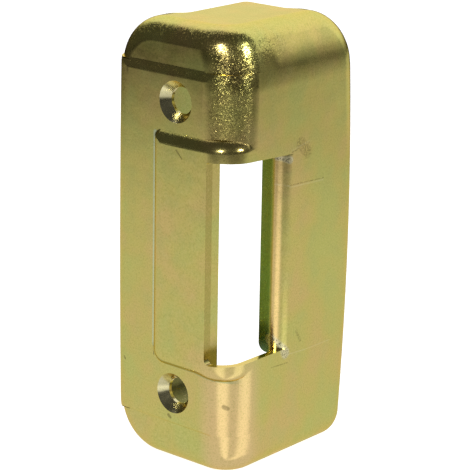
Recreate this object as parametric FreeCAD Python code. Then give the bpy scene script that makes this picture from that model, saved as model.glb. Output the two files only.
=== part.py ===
"""Door strike plate: one pressed sheet that wraps the outside corner of a door frame.

Everything is drawn in millimetres in a corner frame. The screw face is the plane y = 0 and
looks towards -Y, the bolt face is the plane x = 0 and looks towards +X, and the two meet
in the upright corner at x = 0, y = 0. The plate stands on z = 0. The finished solid is
then moved so that the origin lies under the middle of its box.
"""
import FreeCAD, Part
import math
import os

from FreeCAD import Vector

# Whole plate
height = 100.0
screw_face_width = 35.2
bolt_face_width = 44.1
sheet = 1.5

# Outline corners of the two faces, and the rounded edges of the pressing
screw_face_corner_radius = 11.6
bolt_face_upper_radius = 12.2
bolt_face_lower_radius = 6.0
wall_edge_radius = 5.0
upright_corner_radius = 8.5

# Crown: the bolt face leans back in a wide arc towards its upper edge
crown_length = 14.0
crown_radius = 29.0
crown_tilt = 27.0

# The free side of each face bows outwards: its ends fall back by this much
screw_side_bow = 0.5
bolt_side_bow = 2.1
bow_end_run = 1.5

# Free rims of the back and end walls, as seen from above, and of the rounded corners
corner_wall_depth = 8.5
back_wall_depth = 8.5
end_wall_width = 22.3
end_wall_depth = 29.9
rim_inner_radius = 3.5
end_wall_tip_radius = 1.2

# Side wall: as deep as the end walls, with a notch at each rounded corner
side_wall_end = 4.0
side_wall_notch = 25.8
side_wall_notch_radius = 1.5
side_wall_tip_radius = 3.0

# Screw field: the middle of the screw face stands proud of the two end bands
field_length = 80.8
field_rise = 0.65
field_step_length = 2.0

# Raised panel round the bolt opening
panel_length = 52.8
panel_drop = 0.15
panel_width = 21.9
panel_rise = 1.4
panel_edge_radius = 3.2
panel_lower_corner_radius = 3.6
panel_upright_radius = 7.0
panel_flare_start = 9.0
panel_flare_blend = 16.0
panel_upper_flare = 0.3
panel_lower_flare = 1.6

# Bolt opening through the upright corner, a little below mid-height
opening_length = 45.4
opening_drop = 0.85
opening_on_screw_face = 6.1
opening_on_bolt_face = 16.9
opening_upper_corner_radius = 0.6
opening_lower_corner_radius = 1.3
opening_taper = 1.0
opening_taper_blend = 20.0

# Lip turned inwards at the near side of the opening
lip_depth = 4.5

# Tongue rolled inwards at the far side of the opening
tongue_depth = 5.9
tongue_bend_radius = 3.3
tongue_end_clearance = 0.1
tongue_lower_reach = 1.1
tongue_upper_corner_radius = 0.8
tongue_lower_corner_radius = 2.0

# Countersunk screw holes, dimpled into the sheet
screw_spacing = 66.0
screw_from_bolt_face = 16.2
screw_hole_radius = 3.0
countersink_radius = 4.6
countersink_depth = 2.1
dimple_wall = 1.6
dimple_depth = 1.4

# Cutting shapes run this far beyond what they cut
overshoot = 10.0

# Two lengths that differ by less than this are the same place
tolerance = 1e-4

# Ends and middle of an edge, as shares of its length, where it is tested
edge_samples = (0.02, 0.5, 0.98)

# Faces that meet at more than this many degrees have a sharp edge between them
sharp_turn = 20.0

mid_height = height / 2
band_front = field_rise
field_front = 0.0
panel_front = -panel_rise
panel_middle = mid_height - panel_drop
opening_low = mid_height - opening_drop - opening_length / 2
opening_high = opening_low + opening_length
tongue_line = opening_on_bolt_face + tongue_bend_radius


def face_of(edges):
    """Closed flat face from edges given in any order."""
    return Part.Face(Part.Wire(Part.__sortEdges__(edges)))


def rounded_face(points, radii):
    """Flat face through the points, with each corner rounded by its own radius."""
    edges = []
    corners = []
    for index, corner in enumerate(points):
        radius = radii[index]
        before = (points[index - 1] - corner).normalize()
        after = (points[(index + 1) % len(points)] - corner).normalize()
        if radius == 0:
            corners.append((corner, corner))
            continue
        half_angle = before.getAngle(after) / 2
        reach = radius / math.tan(half_angle)
        inwards = (before + after).normalize()
        nearest = corner + inwards * (radius / math.sin(half_angle) - radius)
        start = corner + before * reach
        end = corner + after * reach
        edges.append(Part.Arc(start, nearest, end).toShape())
        corners.append((start, end))
    for index, (start, end) in enumerate(corners):
        following = corners[(index + 1) % len(corners)][0]
        edges.append(Part.makeLine(end, following))
    return face_of(edges)


def edges_where(shape, test):
    """Edges whose points, close to both ends and in the middle, all pass the test."""
    found = []
    for edge in shape.Edges:
        span = edge.LastParameter - edge.FirstParameter
        points = [edge.valueAt(edge.FirstParameter + span * share) for share in edge_samples]
        if all(test(point) for point in points):
            found.append(edge)
    return found


def same(value, target):
    """True where two lengths agree."""
    return abs(value - target) < tolerance


def sharp_edges_where(shape, test):
    """Edges that pass the test and lie between two faces that meet at an angle."""
    found = []
    for edge in edges_where(shape, test):
        middle = edge.valueAt((edge.FirstParameter + edge.LastParameter) / 2)
        faces = shape.ancestorsOfType(edge, Part.Face)
        normals = [face.normalAt(*face.Surface.parameter(middle)) for face in faces]
        if math.degrees(normals[0].getAngle(normals[-1])) > sharp_turn:
            found.append(edge)
    return found


def bowed_outline(place, start, width, bow, upper_radius, lower_radius, inset, crown=None):
    """Outline of one face, from the upright corner to its bowed free side.

    It is drawn in the distance from the upright corner and the height, which place turns
    into points. The bow is a round vertex at mid-height, between two short straight runs.
    The crown, where there is one, leans the upper end of the start side back.
    """
    reach = mid_height - max(upper_radius, lower_radius) - bow_end_run
    slope = bow / (mid_height - reach / 2)
    middle = width + reach * math.tan(math.atan(slope) / 2) - inset
    end = middle - slope * (mid_height - inset)
    low = inset
    high = height - inset
    corners = [(start, low), (end, low), (middle, mid_height), (end, high)]
    radii = [0, lower_radius - inset, reach / slope - inset, upper_radius - inset]
    if crown:
        length, radius, tilt = crown
        half_turn = math.tan(tilt / 2)
        vertex = height - length + radius * half_turn - inset * half_turn
        corners += [(start + (high - vertex) * math.tan(tilt), high), (start, vertex)]
        radii += [0, radius - inset]
    else:
        corners += [(start, high)]
        radii += [0]
    return rounded_face([place(out, up) for out, up in corners], radii)


def hood(front, inset):
    """Solid that fills the pressing with its screw face at the given front, less the inset.

    The screw face's outline runs back as one wall and the bolt face's outline runs across
    as the other, so the end walls are where the two meet.
    """
    near = front + inset
    upright_radius = upright_corner_radius - inset
    screw_outline = bowed_outline(
        lambda out, up: Vector(-out, near, up),
        inset,
        screw_face_width,
        screw_side_bow,
        screw_face_corner_radius,
        screw_face_corner_radius,
        inset,
        (crown_length, crown_radius, math.radians(crown_tilt)),
    )
    bolt_outline = bowed_outline(
        lambda out, up: Vector(0, out, up),
        near,
        bolt_face_width,
        bolt_side_bow,
        bolt_face_upper_radius,
        bolt_face_lower_radius,
        inset,
    )
    screw_run = screw_outline.extrude(Vector(0, bolt_face_width + overshoot, 0))
    bolt_run = bolt_outline.extrude(Vector(-screw_face_width - overshoot, 0, 0))
    filled = screw_run.common(bolt_run)

    def by_bolt_face(point):
        return point.x > -screw_face_width / 2

    def by_screw_face(point):
        return point.y < bolt_face_width / 2

    def upright(point):
        at_ends = same(point.z, inset) or same(point.z, height - inset)
        return same(point.y, near) and by_bolt_face(point) and not at_ends

    filled = filled.makeFillet(upright_radius, sharp_edges_where(filled, upright))
    in_front = sharp_edges_where(filled, lambda p: by_bolt_face(p) or by_screw_face(p))
    return filled.makeFillet(wall_edge_radius - inset, in_front)


def field_block(inset):
    """Room for the raised field: full width, with a soft step down to each end band."""
    depth = upright_corner_radius + band_front + overshoot
    half = field_length / 2 - inset / 2
    rise = field_rise
    run = field_step_length
    slope_radius = (run * run + rise * rise) / (2 * rise)
    half_turn = math.asin(run / slope_radius) / 2
    front = field_front + inset
    edges = []
    for side in (1, -1):
        outer = mid_height + side * half
        inner = outer - side * run
        middle_z = inner + side * slope_radius * math.sin(half_turn)
        middle_y = front + slope_radius * (1 - math.cos(half_turn))
        start = Vector(0, front, inner)
        end = Vector(0, front + rise, outer)
        edges.append(Part.Arc(start, Vector(0, middle_y, middle_z), end).toShape())
        edges.append(Part.makeLine(end, Vector(0, depth, outer)))
    for y, reach in ((front, half - run), (depth, half)):
        edges.append(Part.makeLine(Vector(0, y, mid_height - reach), Vector(0, y, mid_height + reach)))
    profile = face_of(edges)
    profile.translate(Vector(-screw_face_width - overshoot, 0, 0))
    return profile.extrude(Vector(screw_face_width + 2 * overshoot, 0, 0))


def panel(inset):
    """Raised panel: its round upper edge is cut off by the field it stands on."""
    radius = panel_edge_radius - inset
    sunk = math.sqrt(panel_edge_radius ** 2 - (panel_edge_radius - panel_rise) ** 2)
    spread = panel_edge_radius - sunk
    left = -panel_width - spread + inset
    right = -inset
    near = panel_front + inset
    far = upright_corner_radius + sheet
    upright_radius = panel_upright_radius - inset
    low = panel_middle - panel_length / 2 - spread + inset
    high = panel_middle + panel_length / 2 + spread - inset
    flare_x = -panel_flare_start
    flare_low = low - panel_lower_flare
    flare_high = high + panel_upper_flare
    corners = [
        (left, low),
        (flare_x, low),
        (right, flare_low),
        (right, flare_high),
        (flare_x, high),
        (left, high),
    ]
    blend = panel_flare_blend
    outline = rounded_face(
        [Vector(x, near, z) for x, z in corners],
        [panel_lower_corner_radius - inset, blend, 0, 0, blend, 0],
    )
    raised = outline.extrude(Vector(0, far - near, 0))
    upright = edges_where(raised, lambda p: same(p.x, right) and same(p.y, near))
    raised = raised.makeFillet(upright_radius, upright)
    corner_side = right - upright_radius

    def on_rim(point):
        share = (point.x - flare_x) / (right - flare_x)
        at_low_end = same(point.z, low + share * (flare_low - low))
        at_high_end = same(point.z, high + share * (flare_high - high))
        at_ends = at_low_end or at_high_end
        seam = same(point.x, corner_side) and not at_ends
        round_corner = point.x > corner_side - tolerance and at_ends
        return (same(point.y, near) and not seam) or (round_corner and not same(point.y, far))

    return raised.makeFillet(radius, edges_where(raised, on_rim))


def pressing(inset):
    """Whole outer form of the pressing, or with an inset the room inside the sheet."""
    form = hood(band_front, inset)
    form = form.fuse(hood(field_front, inset).common(field_block(inset)))
    form = form.fuse(panel(inset))
    return form


def rim_cutter():
    """Room behind the free rims, open towards the door frame."""
    left = -screw_face_width - overshoot
    back = bolt_face_width + overshoot
    outline = rounded_face(
        [
            Vector(left, corner_wall_depth, -overshoot),
            Vector(-end_wall_width, corner_wall_depth, -overshoot),
            Vector(-end_wall_width, end_wall_depth, -overshoot),
            Vector(-back_wall_depth, end_wall_depth, -overshoot),
            Vector(-back_wall_depth, back, -overshoot),
            Vector(left, back, -overshoot),
        ],
        [0, rim_inner_radius, end_wall_tip_radius, rim_inner_radius, 0, 0],
    )
    room = outline.extrude(Vector(0, 0, height + 2 * overshoot))
    return room.cut(side_wall_room())


def side_wall_room():
    """Room the side wall keeps behind the rounded corners, notched towards each end wall."""
    left = -screw_face_width - overshoot
    low = side_wall_end
    high = height - side_wall_end
    outline = rounded_face(
        [
            Vector(left, 0, -overshoot),
            Vector(left, corner_wall_depth, -overshoot),
            Vector(left, corner_wall_depth, low),
            Vector(left, end_wall_depth, low),
            Vector(left, end_wall_depth, high),
            Vector(left, corner_wall_depth, high),
            Vector(left, corner_wall_depth, height + overshoot),
            Vector(left, 0, height + overshoot),
        ],
        [
            0,
            0,
            side_wall_notch_radius,
            side_wall_tip_radius,
            side_wall_tip_radius,
            side_wall_notch_radius,
            0,
            0,
        ],
    )
    return outline.extrude(Vector(-side_wall_notch - left, 0, 0))


def opening_cutter():
    """Room of the bolt opening: its outline seen from the screw face and from the bolt face."""
    left = -opening_on_screw_face
    screw_outline = rounded_face(
        [
            Vector(left, -overshoot, opening_low),
            Vector(overshoot, -overshoot, opening_low),
            Vector(overshoot, -overshoot, opening_high),
            Vector(left, -overshoot, opening_high),
        ],
        [opening_lower_corner_radius, 0, 0, opening_upper_corner_radius],
    )
    bolt_outline = rounded_face(
        [
            Vector(left, -overshoot, opening_low),
            Vector(left, tongue_line, opening_low),
            Vector(left, tongue_line, opening_high - opening_taper),
            Vector(left, 0, opening_high),
            Vector(left, -overshoot, opening_high),
        ],
        [0, 0, 0, opening_taper_blend, 0],
    )
    screw_run = screw_outline.extrude(Vector(0, overshoot + tongue_line, 0))
    bolt_run = bolt_outline.extrude(Vector(overshoot - left, 0, 0))
    return screw_run.common(bolt_run)


def lip():
    """Near edge of the opening, turned inwards, from below the opening up to its top."""
    face_x = -opening_on_screw_face
    back_x = face_x - sheet
    start_y = panel_front + sheet / 2
    end_y = panel_front + lip_depth
    low = opening_low - sheet
    corner = Vector(back_x, start_y, low)
    return Part.makeBox(sheet, end_y - start_y, opening_high - low, corner)


def tongue():
    """Far edge of the opening, rolled inwards to guide the bolt."""
    outer = tongue_bend_radius
    inner = tongue_bend_radius - sheet
    near = opening_on_bolt_face
    turn = math.sqrt(0.5)
    centre = Vector(-outer, tongue_line, 0)
    outer_middle = centre + Vector(outer * turn, -outer * turn, 0)
    inner_middle = centre + Vector(inner * turn, -inner * turn, 0)
    root = tongue_line + sheet / 2
    outer_root = Vector(0, tongue_line, 0)
    inner_root = Vector(-sheet, tongue_line, 0)
    outer_tip = Vector(-outer, near, 0)
    inner_tip = Vector(-outer, near + sheet, 0)
    profile = face_of(
        [
            Part.Arc(outer_root, outer_middle, outer_tip).toShape(),
            Part.makeLine(outer_tip, Vector(-tongue_depth, near, 0)),
            Part.makeLine(Vector(-tongue_depth, near, 0), Vector(-tongue_depth, near + sheet, 0)),
            Part.makeLine(Vector(-tongue_depth, near + sheet, 0), inner_tip),
            Part.Arc(inner_tip, inner_middle, inner_root).toShape(),
            Part.makeLine(inner_root, Vector(-sheet, root, 0)),
            Part.makeLine(Vector(-sheet, root, 0), Vector(0, root, 0)),
            Part.makeLine(Vector(0, root, 0), outer_root),
        ]
    )
    low = opening_low - tongue_lower_reach
    high = opening_high - opening_taper - tongue_end_clearance
    profile.translate(Vector(0, 0, low))
    strip = profile.extrude(Vector(0, 0, high - low))

    for end, radius in ((low, tongue_lower_corner_radius), (high, tongue_upper_corner_radius)):
        tip = edges_where(strip, lambda p: same(p.x, -tongue_depth) and same(p.z, end))
        strip = strip.makeFillet(radius, tip)
    return strip


def screw_holes():
    """Dimples behind the sheet, and the countersunk holes to cut through them."""
    dimples = []
    holes = []
    back = sheet + dimple_depth
    slope = countersink_radius - screw_hole_radius
    for side in (1, -1):
        centre = Vector(-screw_from_bolt_face, 0, mid_height + side * screw_spacing / 2)
        base = centre + Vector(0, sheet / 2, 0)
        boss_height = back - sheet / 2
        boss_base_radius = countersink_radius + dimple_wall
        boss_top_radius = screw_hole_radius + dimple_wall
        dimples.append(Part.makeCone(boss_base_radius, boss_top_radius, boss_height, base, Vector(0, 1, 0)))
        mouth = centre - Vector(0, slope, 0)
        mouth_radius = countersink_radius + slope * slope / countersink_depth
        sink_height = countersink_depth + slope
        holes.append(Part.makeCone(mouth_radius, screw_hole_radius, sink_height, mouth, Vector(0, 1, 0)))
        holes.append(Part.makeCylinder(screw_hole_radius, back + overshoot, centre, Vector(0, 1, 0)))
    return dimples, holes


def strike_plate():
    """The whole plate in the corner frame."""
    plate = pressing(0.0).cut(pressing(sheet))
    plate = plate.cut(rim_cutter())
    plate = plate.fuse(lip())
    plate = plate.cut(opening_cutter())
    plate = plate.fuse(tongue())
    dimples, holes = screw_holes()
    for dimple in dimples:
        plate = plate.fuse(dimple)
    for hole in holes:
        plate = plate.cut(hole)
    return plate.removeSplitter()


def main():
    """Build the plate, put the origin under the middle of its box and save it."""
    plate = strike_plate()
    bounds = plate.optimalBoundingBox(False)
    plate.translate(Vector(-bounds.Center.x, -bounds.Center.y, -bounds.ZMin))
    print("solids", len(plate.Solids), "valid", plate.isValid(), "volume", round(plate.Volume, 1))
    os.makedirs("parts", exist_ok=True)
    plate.exportStep("parts/strike_plate.step")


main()
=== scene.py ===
"""Dresses the pressed strike plate: rounded sheared edges, zinc finish, and the studio round it."""

import math
from collections import namedtuple

import bmesh
import bpy
from bpy.props import FloatProperty, PointerProperty, StringProperty
from bpy.types import Operator, Panel, PropertyGroup
from mathutils import Matrix, Vector


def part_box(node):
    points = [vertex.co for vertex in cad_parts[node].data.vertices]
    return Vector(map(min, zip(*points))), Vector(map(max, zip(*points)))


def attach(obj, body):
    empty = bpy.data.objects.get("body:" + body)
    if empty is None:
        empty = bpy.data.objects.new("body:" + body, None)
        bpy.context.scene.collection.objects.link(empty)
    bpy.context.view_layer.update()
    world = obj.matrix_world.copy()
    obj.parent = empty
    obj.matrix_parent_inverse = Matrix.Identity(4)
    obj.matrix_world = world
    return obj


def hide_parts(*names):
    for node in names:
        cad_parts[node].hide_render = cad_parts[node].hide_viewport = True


bl_info = {
    "name": "Strike plate",
    "version": (1, 0, 0),
    "blender": (4, 5, 0),
    "location": "View3D > Sidebar > Strike plate",
    "description": "Finishes a pressed door strike plate and lights it",
    "category": "Object",
}

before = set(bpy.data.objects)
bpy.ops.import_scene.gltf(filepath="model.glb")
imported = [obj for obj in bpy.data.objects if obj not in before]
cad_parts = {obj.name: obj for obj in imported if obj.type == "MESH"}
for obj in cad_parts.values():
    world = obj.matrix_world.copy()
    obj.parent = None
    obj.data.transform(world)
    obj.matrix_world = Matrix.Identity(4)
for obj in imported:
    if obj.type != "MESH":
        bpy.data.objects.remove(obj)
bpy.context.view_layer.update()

NODE = "strike_plate"
MM = 0.001

# The corner frame of the construction: the two faces meet at x = 0, y = 0
LOW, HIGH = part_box(NODE)
CORNER_X = HIGH.x
PANEL_RISE = 1.4 * MM
CORNER_Y = LOW.y + PANEL_RISE

# Clean-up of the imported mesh: vertices closer than this are one, edges shorter than this go, in
# metres, and faces within this angle are flat, in radians
MERGE_REACH = 0.002 * MM
SHORT_EDGE = 0.0005 * MM
FLAT_ANGLE = math.radians(0.02)
SLICE_REACH = 0.004 * MM
# Edges that turn less are shaded smooth, and edges that turn more are rounded, in radians
SMOOTH_ANGLE = math.radians(30)
SHEARED_ANGLE = math.radians(40)
ROUND_SEGMENTS = 2

# Foot of the panel's upper corner in x and z, the round of its edge, how far in the corner is
# redrawn and how finely, the depth that tells the outer skin from the inner one, and how softly
# the foot runs out, all in millimetres
PANEL_FOOT = (-21.9, 76.25)
PANEL_ROUND = 3.2
CORNER_REACH = 4.2
CORNER_STEP = 0.14
PANEL_SKIN = 0.05
PANEL_FRONT = -2.0
FOOT_BLEND = 0.12

# Inner creases that get a fillet: turns in degrees, furthest x and y, clear of the opening and of
# the redrawn corner, in millimetres
CREASE_TURNS = (-70.0, -28.0)
CREASE_END_X = -0.2
CREASE_END_Y = 0.8
OPENING_FROM_X = -8.5
OPENING_HEIGHTS = (24.2, 73.0)
FIELD_CREASE_Z = 80.0
CORNER_CLEARANCE = 0.5

# Marks on the bolt face: ends in y and z and width, in millimetres
DARK_MARKS = (
    ((19.6, 63.9), (31.0, 63.4), 0.2),
    ((22.8, 29.7), (24.3, 27.2), 0.5),
    ((14.5, 23.3), (20.1, 22.9), 0.18),
    ((19.8, 71.2), (25.7, 72.4), 0.2),
    ((22.6, 72.8), (25.2, 70.4), 1.8),
)
LIGHT_MARKS = (
    ((19.4, 63.5), (31.0, 63.0), 0.22),
    ((19.7, 24.9), (25.9, 24.5), 0.2),
    ((25.9, 24.5), (35.0, 24.5), 0.16),
    ((19.8, 71.6), (25.7, 72.8), 0.14),
    ((16.2, 64.4), (19.3, 63.8), 0.25),
)
# Dark spots on the screw face, the upright corner and the end wall: ends and width, in millimetres
SPOTS = (
    ((-17.4, 0.0, 11.6), (-16.9, 0.0, 11.2), 0.5),
    ((-14.6, -1.4, 73.0), (-13.0, -1.4, 71.4), 0.25),
    ((-31.0, 0.0, 22.0), (-30.7, 0.0, 21.6), 0.35),
    ((-2.9, 1.9, 16.7), (-2.2, 2.4, 16.3), 0.7),
    ((-13.3, 0.0, 99.9), (-13.1, 0.0, 99.9), 0.3),
)
# Torn burrs at the two ends of the rolled tongue: ends of each and reach, in millimetres
BURRS = (
    ((-2.6, 16.8, 28.6), (0.0, 19.2, 25.4), 1.7),
    ((-3.2, 16.8, 70.6), (0.0, 19.4, 69.6), 1.1),
)
BURR_AMOUNT = 0.8
# Foot of the panel from its upper corner down and along to the upright corner, in x and z
PANEL_CREASE = (
    (-21.9, 75.5), (-21.9, 27.2), (-20.8, 25.0), (-18.4, 23.9), (-10.0, 23.8), (-5.0, 23.0), (0.0, 22.3),
)
CREASE_WIDTH = 0.7
# Axes of the screw holes in x and z, and the radii where they start and are full, in millimetres
SCREW_X = -16.2
SCREW_HEIGHTS = (17.0, 83.0)
HOLE_RADII = (4.72, 4.55)

# A patch of film, or of painted light and shade, has a strength, a colour and ranges, each of which
# fades in from none to full between two values of a measure: x, y and z in millimetres of the corner
# frame, turn_x for the x of the surface's direction, and side_x, side_y and side_z for the sizes of its parts
Patch = namedtuple("Patch", "strength colour ranges")
PATCHY = Patch(0.35, "#C9CB7C", ())
# Painted highlight: a paler, pinkish colour on the lower part of the upright corner
LOWER_CORNER_HIGHLIGHT = Patch(0.8, "#EECB92", (("x", -10.0, -5.0), ("y", 12.0, 7.0), ("z", 34.0, 20.0)))
# Painted shade: a darker grey green in the crease along the panel's foot
CREASE_SHADE = Patch(0.7, "#A0AC7C", (("y", 6.0, 2.0),))
# Painted highlight: a pale line along the panel's left foot
LEFT_CREASE_HIGHLIGHT = Patch(1.0, "#D8DEB2", (("y", 6.0, 2.0), ("x", -21.0, -21.5), ("z", 26.0, 28.0)))
# Painted highlight: a paler, pinkish colour on the tongue's roll
TONGUE_ROLL_HIGHLIGHT = Patch(
    1.0, "#F0D08A",
    (("y", 16.2, 16.7), ("y", 19.8, 18.8), ("x", -3.0, -2.2), ("x", -0.6, -1.3), ("z", 76.0, 70.0)),
)
# Painted reflection: light green on the flat edge of the tongue, for the shaded inside that it mirrors
TONGUE_EDGE_REFLECTION = Patch(
    1.0, "#A9D9B4",
    (
        ("x", -2.4, -3.4), ("x", -6.2, -5.9), ("y", 16.2, 16.7), ("y", 19.2, 18.6), ("z", 73.0, 71.5),
        ("z", 23.0, 24.5),
    ),
)
# Painted shade: dark green at the lower end of the tongue's edge
TONGUE_EDGE_FOOT_SHADE = Patch(0.85, "#557A48", TONGUE_EDGE_REFLECTION.ranges + (("z", 34.0, 29.0),))
SCREW_HOLES = Patch(1.0, "#DCD4A6", (("side_y", 0.95, 0.85), ("y", 3.2, 2.8)))
# Painted shade: dark olive on the inner face of the side wall, low down
SIDE_WALL_FOOT_SHADE = Patch(0.9, "#62643E", (("turn_x", 0.3, 0.6), ("x", -27.0, -31.0), ("z", 22.0, 12.0)))
SIDE_WALL_HEAD = Patch(0.4, "#7F9A5A", (("turn_x", 0.3, 0.6), ("x", -27.0, -31.0), ("z", 62.0, 74.0)))
# Painted shade: dark olive at the foot of the lip, inside the opening
LIP_FOOT_SHADE = Patch(
    0.7, "#7C8A4C", (("turn_x", 0.3, 0.6), ("x", -5.6, -5.9), ("x", -8.5, -8.0), ("z", 33.0, 28.0))
)
LIP_BEND = Patch(
    0.55, "#A8964E", (("x", -6.4, -6.2), ("x", -5.7, -5.9), ("y", 0.9, 0.5), ("side_x", 0.8, 0.95))
)
DARK_MARK = Patch(0.35, "#4A3C1E", (("x", -3.4, -2.4), ("peel", 0.38, 0.56)))
LIGHT_MARK = Patch(0.3, "#FFF3C4", DARK_MARK.ranges)
SPOT = Patch(0.5, "#4A3C1E", ())
BURR = Patch(0.8, "#F2EDC8", ())
BURR_PITS = Patch(0.8, "#30280F", ())
DARK_MOTTLE = Patch(0.34, "#A2A04E", ())
PALE_MOTTLE = Patch(0.3, "#F0D896", ())

# Where the sheet turned away from its flat faces, and where it was stretched most
BENT = (("most", 0.997, 0.94), ("side_z", 0.95, 0.75), ("y", 22.0, 11.0), ("x", -33.0, -29.0))
STRETCHED = (("z", 71.0, 82.0),)
# Where the upright corner draws in under the crown, and how the surface leans there
DRAWN_IN = (("z", 95.6, 94.2), ("z", 89.5, 92.0), ("x", -9.0, -6.5), ("y", 16.0, 13.0))
DRAWN_IN_LEAN = (0.0, 0.0, -0.08)

# Noises in waves per millimetre, with their detail and roughness
FILM_NOISE = (0.075, 3.0, 0.5)
PATCH_NOISE = (0.2, 3.0, 0.55)
PEEL_NOISE = (2.4, 3.0, 0.6)
MOTTLE_NOISE = (2.4, 2.0, 0.7)
PIT_NOISE = (3.0, 2.0, 0.6)
# Levels of the noises where a film starts and is full
PATCHY_LEVELS = (0.45, 0.7)
PIT_LEVELS = (0.52, 0.6)
DARK_MOTTLE_LEVELS = (0.45, 0.75)
PALE_MOTTLE_LEVELS = (0.5, 0.25)
# Levels of the film noise that are fully green, straw and pink
GREEN_LEVEL = 0.36
STRAW_LEVEL = 0.5
PINK_LEVEL = 0.64
# Grains per millimetre, how few of them tilt far, and by how much more than the others
GRAINS = 5.2
FAR_TILT_POWER = 9.0
FAR_TILT = 3.2
COMMON_TILT = 0.8
# How few grains are dull, and how dull
DULL_POWER = 4.0
DULL_AMOUNT = 0.26
# Depths of the orange peel and of the sheet's waves, in metres
PEEL_DEPTH = 0.008 * MM
WAVE_DEPTH = 0.03 * MM
# Roughness, by the levels of the patch noise
ROUGHNESS_LEVELS = (0.3, 0.7)
ROUGHNESS = (0.17, 0.24)
EDGE_TINT = "#FFEFC4"

# Brightness of the board as the plate mirrors it, by the distance from the plate's corner in metres
FLOOR_GLOW = (
    (0.02, "#E0E0E0"),
    (0.10, "#DCDCDC"),
    (0.17, "#DCDCDC"),
    (0.25, "#D6D6D6"),
    (0.345, "#B2B2B2"),
    (0.42, "#6A6A6A"),
    (0.50, "#464646"),
    (0.70, "#303030"),
)
# Light pools on the board: azimuth and half width in degrees, extra brightness, distances in metres
# where they start to fade and are gone. The full part of a pool is a share of its half width
FLOOR_STREAKS = (
    (34.0, 27.0, 0.46, 0.20, 0.29),
    (112.0, 28.0, 0.42, 0.08, 0.14),
    (165.0, 32.0, 0.60, 0.42, 0.29),
)
STREAK_CORE = 1 / 12
# The board fades sooner towards the camera: azimuth, half width in degrees, by how much sooner,
# and the share of the half width where it is full
FLOOR_NEAR_SIDE = (50.0, 90.0, 0.58)
NEAR_SIDE_CORE = 1 / 4
# The board as the camera sees it: its own colour and the light added to it
BOARD_COLOUR = "#F2F2F2"
BOARD_LIFT = "#F0F0F0"
FLOOR_RADIUS = 1.6
FLOOR_SEGMENTS = 96
# Soft box high behind the plate: direction, angles of full and of no brightness
SOFT_BOX = ((-0.45, 0.55, 0.70), 31.0, 45.0)
# Pale wall behind the plate: azimuth, half widths of full and of no brightness, elevations where it
# starts and is full, all in degrees
BACK_WALL = (-170.0, 50.0, 54.0, -2.0, 12.0)
DARK_ROOM = 0.06
# Lamps: names and azimuths, and for both the elevation in degrees, the distance and width in
# metres, and the radiance
LAMPS = (("lamp_left", 26.0), ("lamp_right", 98.0))
LAMP_ELEVATION = 17.0
LAMP_DISTANCE = 1.2
LAMP_WIDTH = 0.21
LAMP_LEVEL = 30.0

FRAME_PX = 470.0
SENSOR_MM = 36.0
PRINCIPAL_PX = (232.157, 230.084)
AIM = (-10.812, 12.975, 52.980)
CLIP_START = 0.01


def corner_point(x, y, z):
    """Point of the corner frame, in millimetres, as a place in the scene."""
    return Vector((CORNER_X + x * MM, CORNER_Y + y * MM, LOW.z + z * MM))


def corner_place(point):
    """Place in the scene as x, y and z of the corner frame, in millimetres."""
    return (point.x - CORNER_X) / MM, (point.y - CORNER_Y) / MM, (point.z - LOW.z) / MM


def linear(code):
    """sRGB hex colour as linear RGBA."""
    values = [int(code[i:i + 2], 16) / 255 for i in (1, 3, 5)]
    return [v / 12.92 if v <= 0.04045 else ((v + 0.055) / 1.055) ** 2.4 for v in values] + [1.0]


def toward(azimuth, elevation=0.0):
    """Direction from the plate, by angles in radians. Azimuth turns from the screw face's side."""
    level = math.cos(elevation)
    return Vector((math.sin(azimuth) * level, -math.cos(azimuth) * level, math.sin(elevation)))


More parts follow.
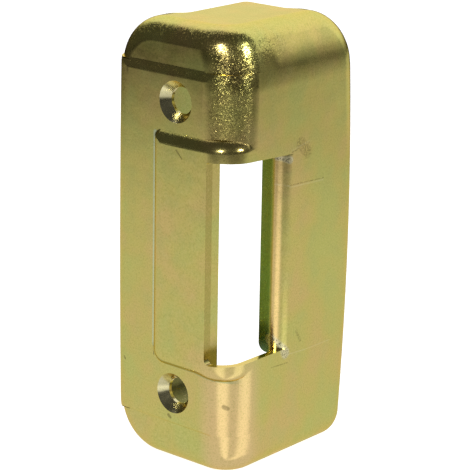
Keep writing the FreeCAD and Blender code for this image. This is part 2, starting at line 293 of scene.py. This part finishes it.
class Nodes:
    """Adds nodes to one shader tree. An input is a value or the output of another node."""

    def __init__(self, tree):
        self.tree = tree
        tree.nodes.clear()

    def add(self, kind, inputs=None, **settings):
        """Adds a node with its settings and inputs."""
        node = self.tree.nodes.new(kind)
        for name, value in settings.items():
            setattr(node, name, value)
        for socket, value in (inputs or {}).items():
            if isinstance(value, bpy.types.NodeSocket):
                self.tree.links.new(value, node.inputs[socket])
            else:
                node.inputs[socket].default_value = value
        return node

    def number(self, kind, *values, clamp=False):
        """Number worked out from numbers."""
        return self.add("ShaderNodeMath", dict(enumerate(values)), operation=kind, use_clamp=clamp).outputs[0]

    def vector(self, kind, *values):
        """Vector worked out from vectors."""
        return self.add("ShaderNodeVectorMath", dict(enumerate(values)), operation=kind).outputs[0]

    def measure(self, kind, *values):
        """Number worked out from vectors."""
        return self.add("ShaderNodeVectorMath", dict(enumerate(values)), operation=kind).outputs["Value"]

    def scaled(self, vector, scale):
        """Vector times a number."""
        return self.add("ShaderNodeVectorMath", {0: vector, "Scale": scale}, operation="SCALE").outputs[0]

    def parts(self, vector):
        """The three numbers of a vector."""
        return self.add("ShaderNodeSeparateXYZ", {0: vector}).outputs

    def fade(self, value, start, end, first=0.0, last=1.0):
        """Smooth change from the first level at the start to the last level at the end."""
        return self.add(
            "ShaderNodeMapRange", {0: value, 1: start, 2: end, 3: first, 4: last},
            interpolation_type="SMOOTHSTEP",
        ).outputs[0]

    def cone(self, direction, axis, full, none, level=1.0):
        """Level round an axis, falling to 0 between two angles in degrees."""
        near = self.measure("DOT_PRODUCT", direction, axis)
        return self.fade(near, math.cos(math.radians(none)), math.cos(math.radians(full)), 0.0, level)

    def noise(self, place, scale, detail, roughness):
        """Level of a noise."""
        return self.add(
            "ShaderNodeTexNoise", {"Vector": place, "Scale": scale, "Detail": detail, "Roughness": roughness}
        ).outputs[0]

    def strokes(self, place, lines):
        """1 close to lines given by their ends and width, 0 away from them."""
        total = 0.0
        for start, end, width in lines:
            run = Vector(end) - Vector(start)
            offset = self.vector("SUBTRACT", place, start)
            part = self.measure("DOT_PRODUCT", offset, run / run.length_squared)
            part = self.number("ADD", part, 0.0, clamp=True)
            gap = self.measure("DISTANCE", offset, self.vector("MULTIPLY", part, run))
            total = self.number("MAXIMUM", self.fade(gap, width, width / 2), total)
        return total

    def tint(self, base, mask, patch):
        """Colour with a patch of film, or of painted light and shade, over it, where a mask allows."""
        amount = self.number("MULTIPLY", mask, patch.strength)
        return self.add(
            "ShaderNodeMix", {0: amount, 6: base, 7: linear(patch.colour)}, data_type="RGBA"
        ).outputs[2]


class PlateSettings(PropertyGroup):
    """Sizes and colours of the finish."""

    edge_round: FloatProperty(
        name="Edge rounding",
        description="Width of the rounding left on sheared edges",
        default=0.16 * MM,
        unit="LENGTH",
    )
    crease_round: FloatProperty(
        name="Crease rounding",
        description="Width of the soft inner crease round the panel and the screw field",
        default=0.3 * MM,
        unit="LENGTH",
    )
    panel_corner: FloatProperty(
        name="Panel corner",
        description="Radius at the foot of the panel's upper corner",
        default=1.8 * MM,
        unit="LENGTH",
    )
    grain_tilt: FloatProperty(
        name="Grain tilt",
        description="Tilt of the single grains where the sheet was stretched",
        default=0.13,
    )
    straw_film: StringProperty(
        name="Straw film",
        description="Colour of most of the passivated zinc",
        default="#D8CA74",
    )
    green_film: StringProperty(
        name="Green film",
        description="Colour where the passivation is thicker",
        default="#CFCD76",
    )
    pink_film: StringProperty(
        name="Pink film",
        description="Colour where the passivation is thinner",
        default="#DFC67C",
    )


class StudioSettings(PropertyGroup):
    """Camera."""

    azimuth: FloatProperty(
        name="Azimuth",
        description="Turn of the camera from the screw face towards the bolt face",
        default=math.radians(40.342),
        subtype="ANGLE",
    )
    elevation: FloatProperty(
        name="Elevation",
        description="Height of the camera over the level",
        default=math.radians(16.606),
        subtype="ANGLE",
    )
    roll: FloatProperty(
        name="Roll",
        description="Tilt of the camera about its own axis",
        default=math.radians(0.994),
        subtype="ANGLE",
    )
    distance: FloatProperty(
        name="Distance",
        description="From the camera to the point it is aimed at",
        default=467.09 * MM,
        unit="LENGTH",
    )
    focal_px: FloatProperty(
        name="Focal length",
        description="Focal length in pixels of the 470 pixel frame",
        default=2132.22,
    )


def slice_mesh(work, axis, values, low, high):
    """Cut the faces that lie in or reach into a box with planes across one axis."""
    normal = Vector((0.0, 0.0, 0.0))
    normal[axis] = 1.0

    def inside(point):
        return all(low[i] < point[i] < high[i] for i in range(3))

    for value in values:
        faces = [
            face for face in work.faces
            if inside(face.calc_center_median()) or any(inside(vert.co) for vert in face.verts)
        ]
        parts = set(faces)
        for face in faces:
            parts.update(face.edges)
            parts.update(face.verts)
        spot = [0.0, 0.0, 0.0]
        spot[axis] = value
        bmesh.ops.bisect_plane(work, geom=list(parts), dist=SLICE_REACH, plane_co=spot, plane_no=normal)


def round_panel_corner(work, radius):
    """Round the upper corner of the panel, where the two pressed slopes meet at its foot."""
    left, top = PANEL_FOOT
    steps = [(i - 1) * CORNER_STEP for i in range(int(CORNER_REACH / CORNER_STEP) + 3)]
    low = corner_point(left - 3 * CORNER_STEP, PANEL_FRONT, top - CORNER_REACH)
    high = corner_point(left + CORNER_REACH, PANEL_SKIN, top + 3 * CORNER_STEP)
    slice_mesh(work, 0, [corner_point(left + step, 0, 0).x for step in steps], low, high)
    slice_mesh(work, 2, [corner_point(0, 0, top - step).z for step in steps], low, high)
    centre = PANEL_ROUND - PANEL_RISE / MM
    sunk = math.sqrt(PANEL_ROUND ** 2 - centre ** 2)
    for vert in work.verts:
        place_x, y, place_z = corner_place(vert.co)
        x = place_x - left
        z = top - place_z
        if y > PANEL_SKIN or max(x, z) > CORNER_REACH or min(x, z) < -2 * CORNER_STEP:
            continue
        inside = min(x, z)
        if x < radius and z < radius:
            inside = radius - math.hypot(radius - x, radius - z)
        slope = sunk - min(inside, sunk)
        rise = math.sqrt(max(PANEL_ROUND ** 2 - slope ** 2, 0.0)) - centre
        if inside < 0:
            rise = inside * sunk / centre
        by_left = min(max(0.5 + (z - x) / (2 * radius), 0.0), 1.0)
        soft = (rise + math.hypot(rise, FOOT_BLEND * by_left)) / 2
        vert.co.y = CORNER_Y - soft * MM


def soften_creases(work, width):
    """Give the inner creases round the panel and the screw field a soft fillet."""
    sharpest, softest = CREASE_TURNS
    lowest, highest = OPENING_HEIGHTS
    corner_foot = PANEL_FOOT[1] - CORNER_REACH - CORNER_CLEARANCE
    creases = []
    for edge in work.edges:
        turn = math.degrees(edge.calc_face_angle_signed(0.0))
        x, y, z = corner_place((edge.verts[0].co + edge.verts[1].co) / 2)
        outside = y < CREASE_END_Y and x < CREASE_END_X
        by_opening = x > OPENING_FROM_X and lowest < z < highest
        by_panel_corner = corner_foot < z <= FIELD_CREASE_Z
        if sharpest < turn < softest and outside and not by_opening and not by_panel_corner:
            creases.append(edge)
    bmesh.ops.bevel(
        work, geom=creases, offset=width, offset_type="OFFSET", segments=ROUND_SEGMENTS, profile=0.5,
        affect="EDGES", clamp_overlap=False,
    )


def plate_mesh(settings):
    """Packed plate with the panel's upper corner rounded and its creases softened."""
    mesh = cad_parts[NODE].data.copy()
    mesh.name = "pressed_plate"
    work = bmesh.new()
    work.from_mesh(mesh)
    bmesh.ops.remove_doubles(work, verts=work.verts, dist=MERGE_REACH)
    bmesh.ops.dissolve_degenerate(work, edges=work.edges, dist=SHORT_EDGE)
    bmesh.ops.dissolve_limit(
        work, angle_limit=FLAT_ANGLE, verts=work.verts, edges=work.edges, use_dissolve_boundaries=False
    )
    round_panel_corner(work, settings.panel_corner / MM)
    soften_creases(work, settings.crease_round)
    for face in work.faces:
        face.smooth = True
    bevel = work.edges.layers.float.new("bevel_weight_edge")
    for edge in work.edges:
        angle = edge.calc_face_angle(0.0)
        edge.smooth = angle < SMOOTH_ANGLE
        if angle > SHEARED_ANGLE:
            edge[bevel] = 1.0
    work.to_mesh(mesh)
    work.free()
    return mesh


def zinc_material(settings):
    """Pressed mild steel, electroplated with zinc and yellow passivated.

    The passivation is a thin film, so the straw yellow drifts to green and pink. Where the
    sheet was stretched over the die its grain opened into orange peel, which sparkles.
    """
    material = bpy.data.materials.new("yellow_passivated_zinc")
    material.use_nodes = True
    nodes = Nodes(material.node_tree)

    # Place on the plate in millimetres of the corner frame, and the surface's direction
    texture_place = nodes.add("ShaderNodeTexCoord").outputs
    place = nodes.scaled(nodes.vector("SUBTRACT", texture_place["Object"], corner_point(0, 0, 0)), 1 / MM)
    x, y, z = nodes.parts(place)
    side_x, side_y, side_z = nodes.parts(nodes.vector("ABSOLUTE", texture_place["Normal"]))
    film = nodes.noise(place, *FILM_NOISE)
    patchy = nodes.noise(place, *PATCH_NOISE)
    peel = nodes.noise(place, *PEEL_NOISE)
    measures = {
        "x": x,
        "y": y,
        "z": z,
        "turn_x": nodes.parts(texture_place["Normal"])[0],
        "side_x": side_x,
        "side_y": side_y,
        "side_z": side_z,
        "most": nodes.number("MAXIMUM", nodes.number("MAXIMUM", side_x, side_y), side_z),
        "peel": peel,
    }

    def within(ranges, mask=1.0):
        """A mask, kept to where all ranges allow."""
        for name, start, end in ranges:
            mask = nodes.number("MULTIPLY", nodes.fade(measures[name], start, end), mask)
        return mask

    def lay(base, patch, mask=1.0):
        """Colour with a patch of film, or of painted light and shade, over it, where the patch's ranges and a
        mask allow.
        """
        return nodes.tint(base, within(patch.ranges, mask), patch)

    # Countersinks and bores of the screw holes
    across = nodes.vector("MULTIPLY", place, (1.0, 0.0, 1.0))
    in_holes = 0.0
    for height in SCREW_HEIGHTS:
        off_axis = nodes.measure("DISTANCE", across, (SCREW_X, 0.0, height))
        in_holes = nodes.number("MAXIMUM", nodes.fade(off_axis, *HOLE_RADII), in_holes)
    in_holes = within(SCREW_HOLES.ranges, in_holes)
    # The film drifts from green over straw to pink
    drift = nodes.add("ShaderNodeValToRGB", {0: film})
    ramp = drift.color_ramp
    ramp.elements[0].position = GREEN_LEVEL
    ramp.elements[0].color = linear(settings.green_film)
    ramp.elements[1].position = PINK_LEVEL
    ramp.elements[1].color = linear(settings.pink_film)
    ramp.elements.new(STRAW_LEVEL).color = linear(settings.straw_film)
    base = nodes.tint(drift.outputs[0], nodes.fade(patchy, *PATCHY_LEVELS), PATCHY)
    # Painted highlight on the lower part of the upright corner
    base = lay(base, LOWER_CORNER_HIGHLIGHT)
    # Painted shade in the crease round the panel and a painted highlight along its left foot, a painted
    # highlight on the tongue's roll, a painted reflection of the shaded inside on the tongue's edge with
    # painted shade at its lower end, and a paler tone in the screw holes
    corners = [(foot_x, 0.0, foot_z) for foot_x, foot_z in PANEL_CREASE]
    creases = [(start, end, CREASE_WIDTH) for start, end in zip(corners, corners[1:])]
    creased = nodes.strokes(across, creases)
    base = lay(base, CREASE_SHADE, creased)
    base = lay(base, LEFT_CREASE_HIGHLIGHT, creased)
    base = lay(base, TONGUE_ROLL_HIGHLIGHT)
    base = lay(base, TONGUE_EDGE_REFLECTION)
    base = lay(base, TONGUE_EDGE_FOOT_SHADE)
    base = nodes.tint(base, in_holes, SCREW_HOLES)
    # Painted shade inside, on the side wall behind the lower screw hole and at the foot of the lip, and a
    # darker green on the side wall behind the upper screw hole
    base = lay(base, SIDE_WALL_FOOT_SHADE)
    base = lay(base, SIDE_WALL_HEAD)
    base = lay(base, LIP_FOOT_SHADE)
    # The lip's outer part is the rough bend of the sheet
    bend = within(LIP_BEND.ranges)
    base = nodes.tint(base, bend, LIP_BEND)
    # Scratches on the bolt face, spots, and burrs where the tongue was torn off at its two ends
    on_bolt_face = nodes.vector("MULTIPLY", place, (0.0, 1.0, 1.0))
    for patch, marks in ((DARK_MARK, DARK_MARKS), (LIGHT_MARK, LIGHT_MARKS)):
        lines = [((0.0, *start), (0.0, *end), width) for start, end, width in marks]
        base = lay(base, patch, nodes.strokes(on_bolt_face, lines))
    base = nodes.tint(base, nodes.strokes(place, SPOTS), SPOT)
    torn = nodes.number("MULTIPLY", nodes.strokes(place, BURRS), BURR_AMOUNT)
    base = nodes.tint(base, torn, BURR)
    pits = nodes.fade(nodes.noise(place, *PIT_NOISE), *PIT_LEVELS)
    base = nodes.tint(base, nodes.number("MULTIPLY", torn, pits), BURR_PITS)
    # Fine mottling: the film follows the grain of the steel
    mottle = nodes.noise(place, *MOTTLE_NOISE)
    base = nodes.tint(base, nodes.fade(mottle, *DARK_MOTTLE_LEVELS), DARK_MOTTLE)
    base = nodes.tint(base, nodes.fade(mottle, *PALE_MOTTLE_LEVELS), PALE_MOTTLE)

    # Orange peel: each grain of the stretched steel tilts its own way, and some are dull
    stretch = within(BENT + STRETCHED, nodes.number("SUBTRACT", 1.0, in_holes))
    cells = nodes.add("ShaderNodeTexVoronoi", {"Vector": place, "Scale": GRAINS, "Randomness": 1.0})
    grain = cells.outputs["Color"]
    chance = nodes.parts(grain)[2]
    far = nodes.number("POWER", chance, FAR_TILT_POWER)
    spread = nodes.number("MULTIPLY_ADD", far, FAR_TILT, COMMON_TILT)
    amount = nodes.number("MULTIPLY", stretch, nodes.number("MULTIPLY", spread, settings.grain_tilt))
    tilt = nodes.scaled(nodes.vector("SUBTRACT", grain, (0.5, 0.5, 0.5)), amount)
    rough = nodes.number("MAXIMUM", stretch, nodes.number("MAXIMUM", torn, bend))
    relief = nodes.number("MULTIPLY", peel, rough)
    peeled = nodes.add(
        "ShaderNodeBump", {"Height": relief, "Strength": 1.0, "Distance": PEEL_DEPTH}
    ).outputs[0]
    waved = nodes.add(
        "ShaderNodeBump", {"Height": patchy, "Normal": peeled, "Strength": 1.0, "Distance": WAVE_DEPTH}
    ).outputs[0]
    lean = nodes.scaled(DRAWN_IN_LEAN, within(DRAWN_IN))
    faced = nodes.vector("ADD", nodes.vector("ADD", waved, tilt), lean)
    even = nodes.add(
        "ShaderNodeMapRange",
        {0: patchy, 1: ROUGHNESS_LEVELS[0], 2: ROUGHNESS_LEVELS[1], 3: ROUGHNESS[0], 4: ROUGHNESS[1]},
    ).outputs[0]
    dull = nodes.number("MULTIPLY", stretch, nodes.number("POWER", chance, DULL_POWER))
    shader = nodes.add(
        "ShaderNodeBsdfPrincipled",
        {
            "Base Color": base,
            "Metallic": 1.0,
            "Roughness": nodes.number("MULTIPLY_ADD", dull, DULL_AMOUNT, even),
            "Normal": nodes.vector("NORMALIZE", faced),
            "Specular Tint": linear(EDGE_TINT),
        },
    )
    nodes.add("ShaderNodeOutputMaterial", {"Surface": shader.outputs[0]})
    return material


class STRIKE_OT_plate(Operator):
    """Finish the pressed plate"""

    bl_idname = "strike.plate"
    bl_label = "Pressed plate"

    def execute(self, context):
        settings = context.scene.strike_plate
        mesh = plate_mesh(settings)
        plate = bpy.data.objects.new("pressed_plate", mesh)
        context.scene.collection.objects.link(plate)
        rounding = plate.modifiers.new("sheared edges", "BEVEL")
        rounding.width = settings.edge_round
        rounding.segments = ROUND_SEGMENTS
        rounding.limit_method = "WEIGHT"
        even = plate.modifiers.new("even shading", "WEIGHTED_NORMAL")
        even.mode = "FACE_AREA"
        even.keep_sharp = True
        plate.data.materials.clear()
        plate.data.materials.append(zinc_material(settings))
        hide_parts(NODE)
        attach(plate, "root")
        return {"FINISHED"}


def place_camera(scene, studio):
    """Camera at the photo's viewing angle."""
    back = toward(studio.azimuth, studio.elevation)
    level = Vector((math.cos(studio.azimuth), math.sin(studio.azimuth), 0.0))
    upright = back.cross(level)
    right = math.cos(studio.roll) * level + math.sin(studio.roll) * upright
    up = -math.sin(studio.roll) * level + math.cos(studio.roll) * upright
    data = bpy.data.cameras.new("studio_camera")
    data.sensor_width = SENSOR_MM
    data.lens = studio.focal_px * SENSOR_MM / FRAME_PX
    data.shift_x = (FRAME_PX / 2 - PRINCIPAL_PX[0]) / FRAME_PX
    data.shift_y = (PRINCIPAL_PX[1] - FRAME_PX / 2) / FRAME_PX
    data.clip_start = CLIP_START
    camera = bpy.data.objects.new("studio_camera", data)
    scene.collection.objects.link(camera)
    place = Matrix((right, up, back)).transposed().to_4x4()
    place.translation = corner_point(*AIM) + back * studio.distance
    camera.matrix_world = place
    scene.camera = camera


def floor_material():
    """Matt white board: white to the camera, with the plate's shadow. The plate mirrors it brightest
    near its foot and where the two lamps shine on it."""
    material = bpy.data.materials.new("white_board")
    material.use_nodes = True
    nodes = Nodes(material.node_tree)
    place = nodes.add("ShaderNodeTexCoord").outputs["Object"]
    flat = nodes.vector("SUBTRACT", place, (CORNER_X, CORNER_Y, 0.0))
    reach = nodes.measure("LENGTH", flat)
    way = nodes.vector("NORMALIZE", flat)
    # Glow that falls with the distance, sooner towards the camera
    azimuth, width, sooner = FLOOR_NEAR_SIDE
    near_side = nodes.cone(way, toward(math.radians(azimuth)), width * NEAR_SIDE_CORE, width, sooner)
    faded = nodes.number("MULTIPLY", reach, nodes.number("ADD", near_side, 1.0))
    glow = nodes.add("ShaderNodeValToRGB", {0: faded})
    ramp = glow.color_ramp
    ramp.interpolation = "LINEAR"
    first, *others, last = FLOOR_GLOW
    for element, (position, colour) in zip(ramp.elements, (first, last)):
        element.position = position
        element.color = linear(colour)
    for position, colour in others:
        ramp.elements.new(position).color = linear(colour)
    total = glow.outputs[0]
    for azimuth, width, level, fading, gone in FLOOR_STREAKS:
        pool = nodes.cone(way, toward(math.radians(azimuth)), width * STREAK_CORE, width, level)
        beam = nodes.number("MULTIPLY", pool, nodes.fade(reach, fading, gone, 1.0, 0.0))
        total = nodes.vector("ADD", total, beam)
    # The camera sees the board itself, the plate mirrors the glow
    board = nodes.add("ShaderNodeBsdfDiffuse", {"Color": linear(BOARD_COLOUR)}).outputs[0]
    lift = nodes.add("ShaderNodeEmission", {"Color": linear(BOARD_LIFT), "Strength": 1.0}).outputs[0]
    seen = nodes.add("ShaderNodeAddShader", {0: board, 1: lift}).outputs[0]
    mirrored = nodes.add("ShaderNodeEmission", {"Color": total, "Strength": 1.0}).outputs[0]
    by_camera = nodes.add("ShaderNodeLightPath").outputs["Is Camera Ray"]
    mixed = nodes.add("ShaderNodeMixShader", {0: by_camera, 1: mirrored, 2: seen}).outputs[0]
    nodes.add("ShaderNodeOutputMaterial", {"Surface": mixed})
    return material


def studio_world(scene):
    """Large soft box high behind the plate, a pale wall below it, dark elsewhere."""
    world = bpy.data.worlds.new("studio")
    scene.world = world
    world.use_nodes = True
    nodes = Nodes(world.node_tree)
    direction = nodes.add("ShaderNodeTexCoord").outputs["Generated"]
    axis, full, none = SOFT_BOX
    box = nodes.cone(direction, Vector(axis).normalized(), full, none)
    azimuth, full, none, start, top = BACK_WALL
    level_way = nodes.vector("NORMALIZE", nodes.vector("MULTIPLY", direction, (1.0, 1.0, 0.0)))
    wall = nodes.cone(level_way, toward(math.radians(azimuth)), full, none)
    rise = nodes.fade(nodes.parts(direction)[2], math.sin(math.radians(start)), math.sin(math.radians(top)))
    total = nodes.number("MAXIMUM", box, nodes.number("MULTIPLY", wall, rise))
    level = nodes.number("ADD", total, DARK_ROOM)
    room = nodes.add("ShaderNodeBackground", {"Color": linear("#FFFFFF"), "Strength": level}).outputs[0]
    white = nodes.add("ShaderNodeBackground", {"Color": linear("#FFFFFF"), "Strength": 1.0}).outputs[0]
    by_camera = nodes.add("ShaderNodeLightPath").outputs["Is Camera Ray"]
    mixed = nodes.add("ShaderNodeMixShader", {0: by_camera, 1: room, 2: white}).outputs[0]
    nodes.add("ShaderNodeOutputWorld", {"Surface": mixed})


def lamp(scene, name, azimuth):
    """Round soft box, aimed at the plate's middle."""
    data = bpy.data.lights.new(name, "AREA")
    data.shape = "DISK"
    data.size = LAMP_WIDTH
    data.energy = LAMP_LEVEL * math.pi * math.pi * (LAMP_WIDTH / 2) ** 2
    light = bpy.data.objects.new(name, data)
    scene.collection.objects.link(light)
    way = toward(math.radians(azimuth), math.radians(LAMP_ELEVATION))
    place = way.to_track_quat("Z", "Y").to_matrix().to_4x4()
    place.translation = (LOW + HIGH) / 2 + way * LAMP_DISTANCE
    light.matrix_world = place


class STRIKE_OT_studio(Operator):
    """Set the floor, the lamps and the camera"""

    bl_idname = "strike.studio"
    bl_label = "Studio"

    def execute(self, context):
        scene = context.scene
        mesh = bpy.data.meshes.new("floor")
        work = bmesh.new()
        bmesh.ops.create_circle(work, cap_ends=True, radius=FLOOR_RADIUS, segments=FLOOR_SEGMENTS)
        work.to_mesh(mesh)
        work.free()
        floor = bpy.data.objects.new("floor", mesh)
        scene.collection.objects.link(floor)
        floor.data.materials.append(floor_material())
        studio_world(scene)
        for name, azimuth in LAMPS:
            lamp(scene, name, azimuth)
        place_camera(scene, scene.strike_studio)
        scene.view_settings.view_transform = "Standard"
        return {"FINISHED"}


class STRIKE_PT_panel(Panel):
    """Steps and settings of the strike plate"""

    bl_idname = "STRIKE_PT_panel"
    bl_label = "Strike plate"
    bl_space_type = "VIEW_3D"
    bl_region_type = "UI"
    bl_category = "Strike plate"

    def draw(self, context):
        for operator in STEPS:
            self.layout.operator(operator.bl_idname)


STEPS = (STRIKE_OT_plate, STRIKE_OT_studio)
CLASSES = (PlateSettings, StudioSettings) + STEPS + (STRIKE_PT_panel,)


def register():
    for each in CLASSES:
        bpy.utils.register_class(each)
    bpy.types.Scene.strike_plate = PointerProperty(type=PlateSettings)
    bpy.types.Scene.strike_studio = PointerProperty(type=StudioSettings)


def unregister():
    del bpy.types.Scene.strike_studio
    del bpy.types.Scene.strike_plate
    for each in reversed(CLASSES):
        bpy.utils.unregister_class(each)


def main():
    """Run every step."""
    register()
    bpy.ops.strike.plate()
    bpy.ops.strike.studio()


if __name__ == "__main__":
    main()
